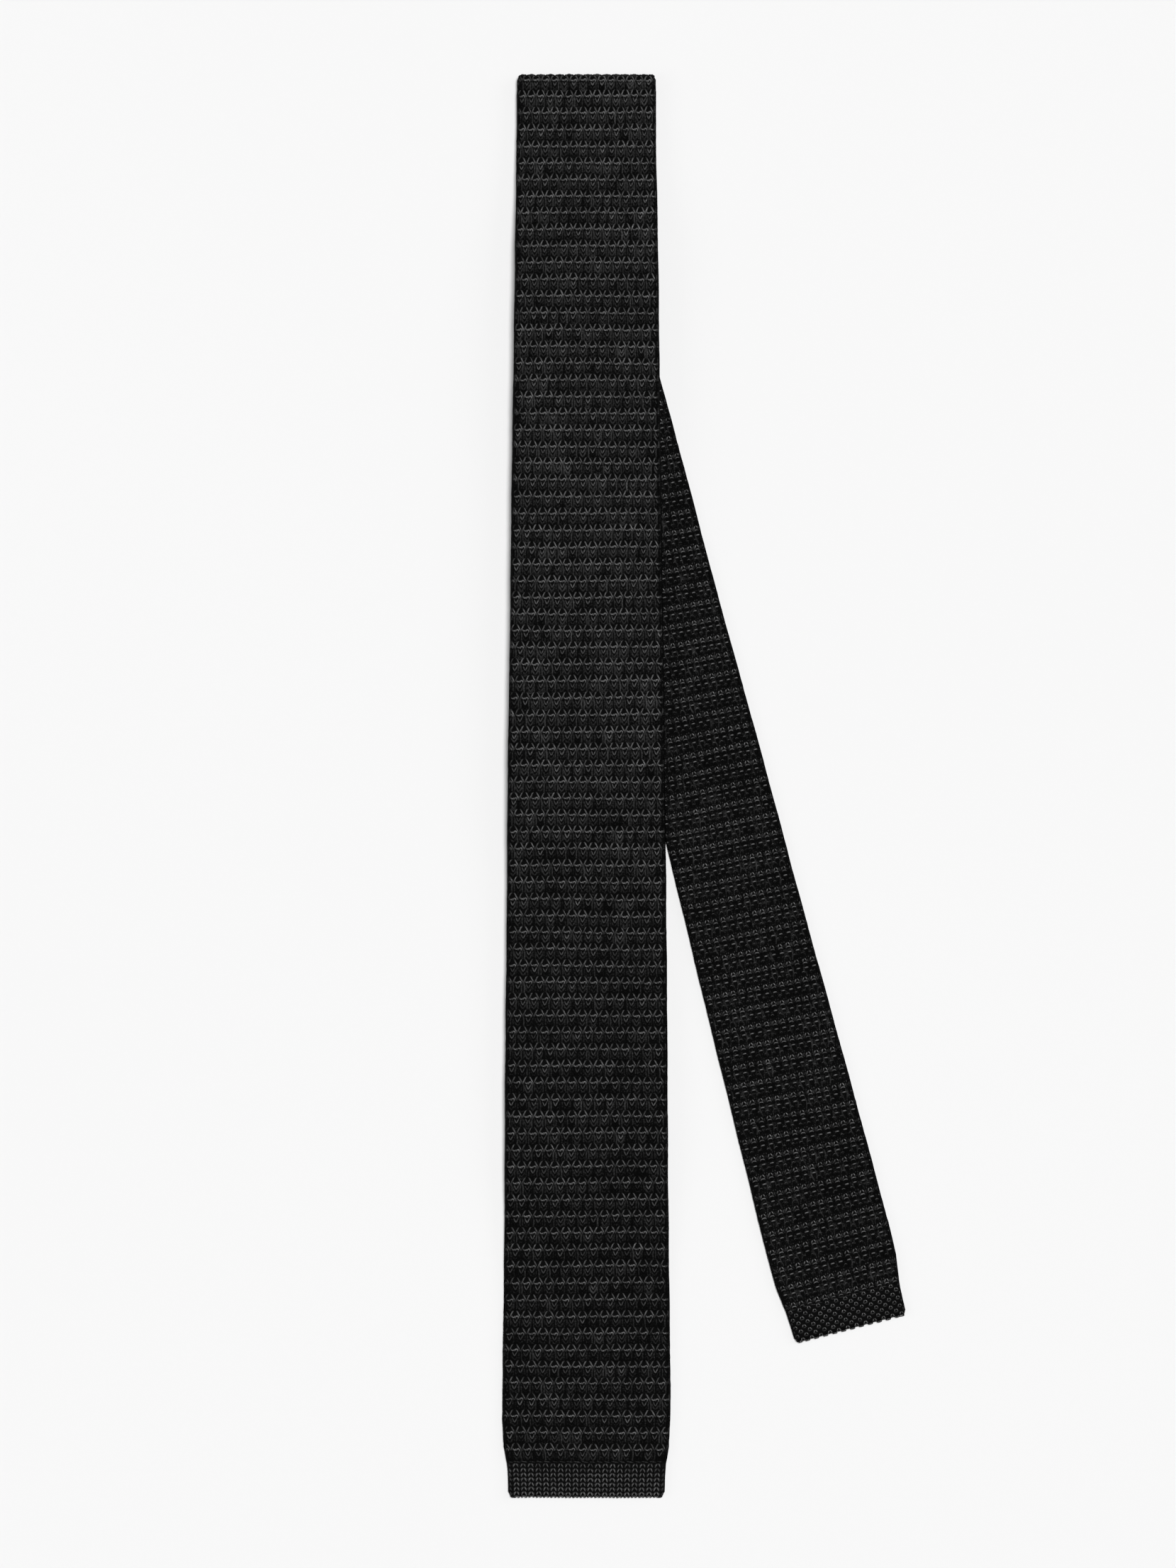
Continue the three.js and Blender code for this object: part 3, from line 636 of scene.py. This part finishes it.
class Skewed:
    """A run whose lines across turn with a slanted fold at s0."""

    def __init__(self, run, s0, k, reach=26.0, lean=0.0, until=290.0):
        self.run, self.s0, self.k, self.reach, self.lean, self.until = run, s0, k, reach, lean, until

    def arc(self, s):
        return self.run.arc(s)

    def place(self, a, s, h, side, inset=0.0):
        a, s = np.broadcast_arrays(np.asarray(a, float), np.asarray(s, float))
        d = np.abs(s - self.s0)
        w = 1 - smooth(np.clip(d / self.reach, 0, 1))
        w = w + self.lean * (1 - w) * (1 - smooth(np.clip((d - self.until) / 50.0, 0, 1)))
        return self.run.place(a, s + self.k * a * w, h, side, inset)


tan_half = math.tan(HALF_TURN)
neck_l_sk = Skewed(neck_l, TF_S, -tan_half)
tail_sk = Skewed(tail, 0.0, tan_half, lean=0.47)

pieces = {}
front_end_span = ("front_blade", "front_end", (CX * MM, (front_lift[1] + 16) * MM, 0.0), (CX * MM, (front_lift[1] - 16) * MM, 0.0))
t0, t1 = tail_hinge[:2] + tail_dir * (TLIFT_S - 16), tail_hinge[:2] + tail_dir * (TLIFT_S + 16)
tail_end_span = ("tail", "tail_end", (t0[0] * MM, t0[1] * MM, 0.0), (t1[0] * MM, t1[1] * MM, 0.0))


def bend_span(a, b, hinge):
    return (a, b, (hinge[0] * MM, hinge[1] * MM, (hinge[2] + 0.2) * MM), (hinge[0] * MM, hinge[1] * MM, (hinge[2] - 0.2) * MM))


top_span, low_span, tf_span = bend_span("front_blade", "neck_upper", top_hinge), bend_span("neck_upper", "neck_lower", low_hinge), bend_span("neck_lower", "tail", tail_hinge)


def add_piece(ob, attach, replaces=()):
    """attach is a body's name, which the piece is parented under, or (a, b, start, end) for a piece at a fold between
    two bodies, which only has its transform baked in; the tuple's contents are not used.
    """
    if isinstance(attach, str):
        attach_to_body(ob, attach)
    else:
        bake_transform(ob)
    if replaces:
        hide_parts(*replaces)
    pieces[ob.name] = ob
    return ob


def stations(a, b, step=2.0):
    n = max(2, int(round(abs(b - a) / step)) + 1)
    return list(np.linspace(a, b, n))


def clad(name, surface, cell, columns, q, first, spans, side, mat, slot, rows=12, replaces=(), **kw):
    """Knitting over spans of (lo, hi, attach), each in pieces of at most the given number of rows."""
    out, c = [], 0
    for lo, hi, attach in spans:
        n = max(1, int(math.ceil((hi - lo) / (rows * q))))
        cuts = np.linspace(lo, hi, n + 1)
        for i in range(n):
            c += 1
            parts = knit(surface, cell, columns, q, first, cuts[i], cuts[i + 1], side=side, seed=abs(hash_of(name)) + c, **kw)
            if parts:
                ob = knit_object(f"{name}_{c}" if n * len(spans) > 1 else name, parts, mat)
                out.append(add_piece(ob, attach, replaces if not out else ()))
    return out


def hash_of(name):
    return sum((i + 1) * ord(ch) for i, ch in enumerate(name)) % 99991


def ply(name, run, s0, s1, side, attach, step=2.0, inset=0.6, mat=None):
    """The dense body of a ply, with its flat size."""
    ss = stations(s0, s1, step)
    ob = ground(name, run, ss, side, mat or BODY, inset=inset, seed=hash_of(name))
    add_piece(ob, attach)
    r = R - inset
    w = float(np.mean([2 * (float(run.arc(np.array(x))) - R * math.pi / 2 + r * math.pi / 2) for x in ss]))
    length = abs(s1 - s0) if not isinstance(run, Bend) else s1 - s0 - BEND + math.pi * (GAP / 2 + R + side * (r + 0.14) / 2)
    FLAT[name] = (round(w, 1), round(length, 1))
    return ob


FLAT = {}
FINE, COARSE = dict(sides=6, level=2), dict(sides=4, level=0)
F_SPLIT, T_SPLIT = LIFT_S - 18, TLIFT_S - 18

# ---- front blade. The face's rows are counted from the last one, just before the hem.
ROW0 = FRONT_LEN - 18.9
F_HEM, T_HEM = FRONT_LEN - 12.2, TAIL_LEN - 11.0
face_front = clad("front_face_loops", front, FRONT_CELL, N_FRONT, Q_FRONT, ROW0, [(TOP_S, F_SPLIT, "front_blade"), (F_SPLIT, F_HEM - 0.4, front_end_span)], 1, FACE,
                  "face_knit", rows=11, phase=0.12, replaces=("front_face_ply", "front_end_face_ply"), shade=lambda t: 0.05 - 0.09 * smooth((t - 200) / 200), **FINE, s_min=TOP_S + 0.6)
face_body = ply("front_face_body", front, TOP_S + EXT, F_SPLIT, 1, "front_blade")
face_end_body = ply("front_end_face_body", front, F_SPLIT, FRONT_END - 0.4, 1, front_end_span)
rev_first = FRONT_LEN - 19.5
rev_front = clad("front_reverse_loops", front, TAIL_CELL, N_TAIL, Q_TAIL, rev_first, [(TOP_S, F_SPLIT, "front_blade"), (F_SPLIT, F_HEM - 0.4, front_end_span)], -1, BACK,
                 "reverse_knit", rows=24, phase=0.3, flip=-1, replaces=("front_reverse_ply", "front_end_reverse_ply"), **COARSE, s_min=TOP_S + 0.7)
ply("front_reverse_body", front, TOP_S + EXT, F_SPLIT, -1, "front_blade")
ply("front_end_reverse_body", front, F_SPLIT, FRONT_END - 0.4, -1, front_end_span)
hem_sink = lambda s: 0.16 * (1 - smooth((s - F_HEM) / 5.5))
clad("front_hem_face_loops", front, JERSEY, 22.0, 1.67, F_HEM, [(F_HEM, FRONT_END + 0.75, "front_end")], 1, HEM, "hem_knit", rows=99, stagger=False, slack=0.75,
     replaces=("front_hem_band",), phase=0.0, sink=hem_sink, **FINE)
clad("front_hem_reverse_loops", front, JERSEY, 22.0, 1.67, F_HEM, [(F_HEM, FRONT_END + 0.6, "front_end")], -1, HEM, "hem_knit", rows=99, stagger=False, slack=0.75, phase=0.0,
     sides=5, level=1)
for side, label in ((1, "face"), (-1, "reverse")):
    clad(f"front_hem_seam_{label}", front, SEAM, 22.0, 0.95, F_HEM - 1.0, [(F_HEM - 0.75, F_HEM - 0.05, "front_end")], side, HEM, "hem_knit", rows=99, stagger=False, slack=0.5,
         replaces=("front_hem_seam",) if side > 0 else (), phase=0.25, sides=5, level=2)

# ---- top fold
def bend_face(name, bend, cell, cols, q, first, side, mat, slot, attach, replaces=(), lo=0.0, hi=BEND, **kw):
    return clad(name, bend, cell, cols, q, first, [(lo, hi, attach)], side, mat, slot, rows=99, replaces=replaces, **kw)


bend_face("top_fold_face_loops", top_bend, FRONT_CELL, N_FRONT, Q_FRONT, TOP_S - ROW0, 1, FACE, "face_knit", top_span, ("top_fold_bend",), flip=-1, phase=0.12, **FINE)
ply("top_fold_face_body", top_bend, -EXT, BEND + EXT, 1, top_span, step=0.6)
ply("top_fold_reverse_body", top_bend, -EXT, BEND + EXT, -1, top_span, step=0.6)

# ---- neck, upper run: reverse up, face down
n_first = 2 * TOP_S - BEND - ROW0
clad("neck_upper_reverse_loops", neck_u, TAIL_CELL, N_TAIL, Q_TAIL, 3.0, [(TOP_S, LOW_S, "neck_upper")], 1, BACK, "reverse_knit", rows=24, phase=0.3, replaces=("neck_upper_reverse_ply",), **COARSE, s_min=TOP_S + 0.7, s_max=LOW_S - 0.6)
clad("neck_upper_face_loops", neck_u, FRONT_CELL, N_FRONT, Q_FRONT, n_first, [(TOP_S, LOW_S, "neck_upper")], -1, FACE, "face_knit", rows=34, phase=0.12, flip=-1, replaces=("neck_upper_face_ply",), **COARSE, s_min=TOP_S + 0.6, s_max=LOW_S - 0.7)
ply("neck_upper_reverse_body", neck_u, TOP_S + EXT, LOW_S - EXT, 1, "neck_upper")
ply("neck_upper_face_body", neck_u, TOP_S + EXT, LOW_S - EXT, -1, "neck_upper")

# ---- lower fold
bend_face("lower_fold_reverse_loops", low_bend, TAIL_CELL, N_TAIL, Q_TAIL, 3.0 - LOW_S, 1, BACK, "reverse_knit", low_span, ("lower_fold_bend",), phase=0.3, sides=5, level=1)
ply("lower_fold_reverse_body", low_bend, -EXT, BEND + EXT, 1, low_span, step=0.6)
ply("lower_fold_face_body", low_bend, -EXT, BEND + EXT, -1, low_span, step=0.6)

# ---- neck, lower run: face up, reverse down
clad("neck_lower_face_loops", neck_l_sk, FRONT_CELL, N_FRONT, Q_FRONT, 2.0, [(TF_S, LOW_S, "neck_lower")], 1, FACE, "face_knit", rows=34, phase=0.12, replaces=("neck_lower_face_ply",), **COARSE, s_min=TF_S + 0.7, s_max=LOW_S - 0.7)
clad("neck_lower_reverse_loops", neck_l_sk, TAIL_CELL, N_TAIL, Q_TAIL, 4.0, [(TF_S, LOW_S, "neck_lower")], -1, BACK, "reverse_knit", rows=24, phase=0.3, flip=-1, replaces=("neck_lower_reverse_ply",), **COARSE, s_min=TF_S + 0.7, s_max=LOW_S - 0.6)
ply("neck_lower_face_body", neck_l_sk, TF_S + EXT, LOW_S - EXT, 1, "neck_lower")
ply("neck_lower_reverse_body", neck_l_sk, TF_S + EXT, LOW_S - EXT, -1, "neck_lower")

# ---- slanted fold
bend_face("tail_fold_face_loops", tail_bend, FRONT_CELL, N_FRONT, Q_FRONT, 1.0, 1, FACE, "face_knit", tf_span, ("tail_fold_bend",), flip=-1, phase=0.12, sides=5, level=1)
ply("tail_fold_face_body", tail_bend, -EXT, BEND + EXT, 1, tf_span, step=0.6)
ply("tail_fold_reverse_body", tail_bend, -EXT, BEND + EXT, -1, tf_span, step=0.6)

# ---- tail: reverse up, face down
T_ROW0 = T_HEM - 2.2 - Q_TAIL
clad("tail_reverse_loops", tail_sk, TAIL_CELL, N_TAIL, Q_TAIL, T_ROW0, [(0.0, T_SPLIT, "tail"), (T_SPLIT, T_HEM - 0.4, tail_end_span)], 1, BACK, "reverse_knit", rows=13, phase=0.3,
     replaces=("tail_reverse_ply", "tail_end_reverse_ply"), **FINE, s_min=0.7)
clad("tail_face_loops", tail_sk, FRONT_CELL, N_FRONT, Q_FRONT, T_ROW0, [(0.0, T_SPLIT, "tail"), (T_SPLIT, T_HEM - 0.4, tail_end_span)], -1, FACE, "face_knit", rows=34, phase=0.12, flip=-1,
     replaces=("tail_face_ply", "tail_end_face_ply"), **COARSE, s_min=0.7)
ply("tail_reverse_body", tail_sk, EXT, T_SPLIT, 1, "tail")
ply("tail_end_reverse_body", tail_sk, T_SPLIT, TAIL_END - 0.4, 1, tail_end_span)
ply("tail_face_body", tail_sk, EXT, T_SPLIT, -1, "tail")
ply("tail_end_face_body", tail_sk, T_SPLIT, TAIL_END - 0.4, -1, tail_end_span)
t_sink = lambda s: 0.05 * (1 - smooth((s - T_HEM) / 2.5))
clad("tail_hem_reverse_loops", tail, PURL, 13.0, 1.47, T_HEM, [(T_HEM, TAIL_END + 0.75, "tail_end")], 1, HEM, "hem_knit", rows=99, slack=0.75, phase=0.2, replaces=("tail_hem_band",), sink=t_sink, s_max=TAIL_END + 0.1, **FINE)
clad("tail_hem_face_loops", tail, PURL, 13.0, 1.47, T_HEM, [(T_HEM, TAIL_END + 0.6, "tail_end")], -1, HEM, "hem_knit", rows=99, slack=0.75, phase=0.2, sides=5, level=1, s_max=TAIL_END + 0.1)
for side, label in ((1, "reverse"), (-1, "face")):
    clad(f"tail_hem_seam_{label}", tail, SEAM, 17.0, 0.95, T_HEM - 1.0, [(T_HEM - 0.75, T_HEM - 0.05, "tail_end")], side, HEM, "hem_knit", rows=99, stagger=False, slack=0.5,
         replaces=("tail_hem_seam",) if side > 0 else (), phase=0.25, sides=5, level=2)


# ---- woven stay tapes between the plies
def sheet_slab(name, P_of, nu, nv, thick, mat, attach, flat, replaces=()):
    """A closed thin cloth. P_of(u, v, h) gives points in mm; h is the height off the cloth's middle."""
    U, Vv = np.meshgrid(np.linspace(0, 1, nu), np.linspace(0, 1, nv), indexing="ij")
    top, bot = P_of(U, Vv, thick / 2), P_of(U, Vv, -thick / 2)
    V = np.concatenate([top.reshape(-1, 3), bot.reshape(-1, 3)])
    i, j = np.meshgrid(np.arange(nu - 1), np.arange(nv - 1), indexing="ij")
    q = np.stack([i * nv + j, (i + 1) * nv + j, (i + 1) * nv + j + 1, i * nv + j + 1], -1).reshape(-1, 4)
    o = nu * nv
    rim = []
    loop = [(a, 0) for a in range(nu)] + [(nu - 1, b) for b in range(1, nv)] + [(a, nv - 1) for a in range(nu - 2, -1, -1)] + [(0, b) for b in range(nv - 2, 0, -1)]
    for t in range(len(loop)):
        (a0, b0), (a1, b1) = loop[t], loop[(t + 1) % len(loop)]
        rim.append([a0 * nv + b0, a1 * nv + b1, a1 * nv + b1 + o, a0 * nv + b0 + o])
    Q = np.concatenate([q, q[:, ::-1] + o, np.array(rim)])
    uv = np.stack([U.ravel(), Vv.ravel()], -1) * 0.48 + 0.01
    uv = np.concatenate([uv, uv + [0.0, 0.5]])
    ob = new_mesh(name, V, Q, np.zeros((0, 3), int), {"OFBake": uv}, np.full(len(V), 0.5), mat)
    fix_normals(ob)
    add_piece(ob, attach, replaces)
    FLAT[name] = flat
    return ob


def tape_points(run, s0, s1, half):
    def f(u, v, h):
        s, a = s0 + (s1 - s0) * v, (2 * u - 1) * half
        p, n = run.place(a, s, -R + h + 0.006 * np.sin(a * 9) * np.cos(s * 9), 1)
        return p
    return f


sheet_slab("neck_upper_tape", tape_points(neck_u, TOP_S + 3, LOW_S - 3, 10.0), 14, 120, 0.14, TAPE, "neck_upper", (20.0, LOW_S - TOP_S - 6), ("neck_upper_stay_tape",))
sheet_slab("neck_lower_tape", tape_points(neck_l_sk, TF_S + 5, LOW_S - 3, 9.5), 14, 90, 0.14, TAPE, "neck_lower", (19.0, LOW_S - TF_S - 8), ("neck_lower_stay_tape",))


# ---- keeper band and blank label on the back of the front blade
class Flat:
    def __init__(self, origin, direction, half, zc, rise=0.0, length=0.0):
        self.o, self.d, self.h, self.z, self.rise, self.len = np.array(origin, float), np.array(direction, float), half, zc, rise, length
        self.x = np.array([-self.d[1], self.d[0]])

    def arc(self, s):
        return np.full_like(np.asarray(s, float), self.h)

    def place(self, a, s, h, side, inset=0.0):
        a, s, h = np.broadcast_arrays(np.asarray(a, float), np.asarray(s, float), np.asarray(h, float))
        z = self.z + side * h + self.rise * ((1 - smooth(s / 4)) + (1 - smooth((self.len - s) / 4)))
        p = np.stack([self.o[0] + self.d[0] * s + self.x[0] * a, self.o[1] + self.d[1] * s + self.x[1] * a, z], -1)
        n = np.zeros_like(p)
        n[..., 2] = side
        return p, n


klo, khi = node_box("keeper_loop")
kmid, kz = (klo + khi) / 2, (klo[2] + khi[2]) / 2
keep_surf = Flat((klo[0], kmid[1]), (1, 0), (khi[1] - klo[1]) / 2 - 0.3, kz, 0.22, khi[0] - klo[0])
k_len, k_half = khi[0] - klo[0], (khi[1] - klo[1]) / 2 - 0.3


def keeper_points(u, v, h):
    return keep_surf.place((2 * u - 1) * k_half, k_len * v, h, 1)[0]


k_loops = clad("keeper_loops", keep_surf, JERSEY_FLAT, 5.0, 1.9, 0.4, [(0.5, k_len - 0.5, "front_blade")], -1, FACE, "keeper_knit", rows=99, stagger=False, slack=0.5, phase=0.5, sides=5, level=1)
sheet_slab("keeper_band", keeper_points, 16, 44, 0.22, BODY, "front_blade", (2 * k_half, k_len), ("keeper_loop",))

llo, lhi = node_box("blank_label")
lmid, lhalf = (llo + lhi) / 2, (lhi - llo) / 2


def label_points(u, v, h):
    x, y = lmid[0] + (2 * u - 1) * (lhalf[0] - 0.2), lmid[1] + (2 * v - 1) * (lhalf[1] - 0.2)
    z = lmid[2] + 0.03 * np.sin(x * 0.5) * np.sin(y * 0.7)
    weave = 0.025 * np.sin(u * 2 * math.pi * 30) * np.sin(v * 2 * math.pi * 20)
    return np.stack([x, y, z + h + np.sign(h) * weave], -1)


sheet_slab("label_cloth", label_points, 121, 81, 0.2, LABEL, "front_blade", (2 * lhalf[0] - 0.4, 2 * lhalf[1] - 0.4), ("blank_label",))


def stitches(name, node, count, span_axis, mat, zlo, zhi, seed):
    """Short bars of thread between a trim's edge and the cloth above it."""
    lo, hi = node_box(node)
    mid = (lo + hi) / 2
    rng = np.random.default_rng(seed)
    n = count
    t = np.linspace(-0.42, 0.42, n)
    base = np.zeros((n, 3))
    base[:] = mid
    base[:, span_axis] += t * (hi[span_axis] - lo[span_axis]) + rng.normal(0, 0.05, n)
    other = 1 - span_axis
    w = max(0.55, (hi[other] - lo[other]) * 0.5)
    th = np.linspace(0, math.pi, 9)
    P = np.repeat(base[:, None], 9, 1)
    P[:, :, other] += w * np.cos(th)[None] + rng.normal(0, 0.04, (n, 1))
    P[:, :, span_axis] += 0.18 * np.cos(th)[None]
    P[:, :, 2] = zhi - (zhi - zlo) * np.sin(th)[None]
    N = np.zeros_like(P)
    N[..., 2] = -1
    v = tubes(P, N, np.full(9, 0.11), 6, np.full(n, 0.5), P[..., :2] - mid[:2])
    ob = knit_object(name, [v], mat)
    return add_piece(ob, "front_blade", (node,))


for node, cnt in (("keeper_tack_left", 7), ("keeper_tack_right", 7), ("label_stitch_left", 5), ("label_stitch_right", 5)):
    stitches(node + "_thread", node, cnt, 1, THREAD, (klo[2] - 0.02) if "keeper" in node else (llo[2] - 0.05), 5.85, hash_of(node))

# ------------------------------------------------------------------ floor, light, camera
def floor():
    n = 61
    ax = np.linspace(-1.5, 1.5, n)
    X, Y = np.meshgrid(ax, ax, indexing="ij")
    V = np.stack([X.ravel(), Y.ravel(), np.full(n * n, -0.0002)], -1) / MM
    i, j = np.meshgrid(np.arange(n - 1), np.arange(n - 1), indexing="ij")
    Q = np.stack([i * n + j, (i + 1) * n + j, (i + 1) * n + j + 1, i * n + j + 1], -1).reshape(-1, 4)
    m, nt, b = nodes_of("floor_paint")
    N, L = nt.nodes.new, nt.links.new
    co = N("ShaderNodeTexCoord")
    t = N("ShaderNodeTexNoise"); t.inputs["Scale"].default_value = 3
    L(co.outputs["Object"], t.inputs["Vector"])
    r = N("ShaderNodeValToRGB")
    r.color_ramp.elements[0].color = (*FLOOR_A, 1); r.color_ramp.elements[1].color = (*FLOOR_B, 1)
    L(t.outputs["Fac"], r.inputs[0]); L(r.outputs[0], b.inputs["Base Color"])
    b.inputs["Roughness"].default_value = 0.9
    b.inputs["Specular IOR Level"].default_value = 0.1
    ob = new_mesh("floor", V, Q, np.zeros((0, 3), int), None, None, m)


FLOOR_A, FLOOR_B = (0.80, 0.80, 0.80), (0.81, 0.81, 0.81)
KEY, FILL, WORLD = 3.3, 0.2, 0.06
floor()


def sun(name, toward, energy, angle):
    """A broad distant lamp; toward points from the object to it."""
    from mathutils import Vector
    l = bpy.data.lights.new(name, "SUN")
    l.energy, l.angle = energy, angle
    o = bpy.data.objects.new(name, l)
    o.rotation_euler = Vector(toward).to_track_quat("Z", "Y").to_euler()
    o.location = (Vector(toward) * 2)
    bpy.context.scene.collection.objects.link(o)
    return o


sun("key", (0.09, 0.09, 1.0), KEY, math.radians(16))
sun("side_right", (1.0, 0.3, 0.75), FILL, math.radians(35))
sun("side_left", (-1.0, -0.2, 0.8), FILL * 0.8, math.radians(35))
w = bpy.data.worlds.new("studio")
bpy.context.scene.world = w
w.use_nodes = True
w.node_tree.nodes["Background"].inputs[0].default_value = (1, 1, 1, 1)
w.node_tree.nodes["Background"].inputs[1].default_value = WORLD

cam = bpy.data.cameras.new("camera")
cam.type = "PERSP"
cam.sensor_width = 36
cam.sensor_fit = "AUTO"
CAM_Z = 3.0
cam.lens = 36 * CAM_Z / 0.560
cam.clip_start, cam.clip_end = 0.1, 20
co = bpy.data.objects.new("camera", cam)
co.location = (-0.04107, 0.0006, CAM_Z)
co.rotation_euler = (0, 0, 0)
bpy.context.scene.collection.objects.link(co)
bpy.context.scene.camera = co
bpy.context.scene.view_settings.view_transform = "Standard"
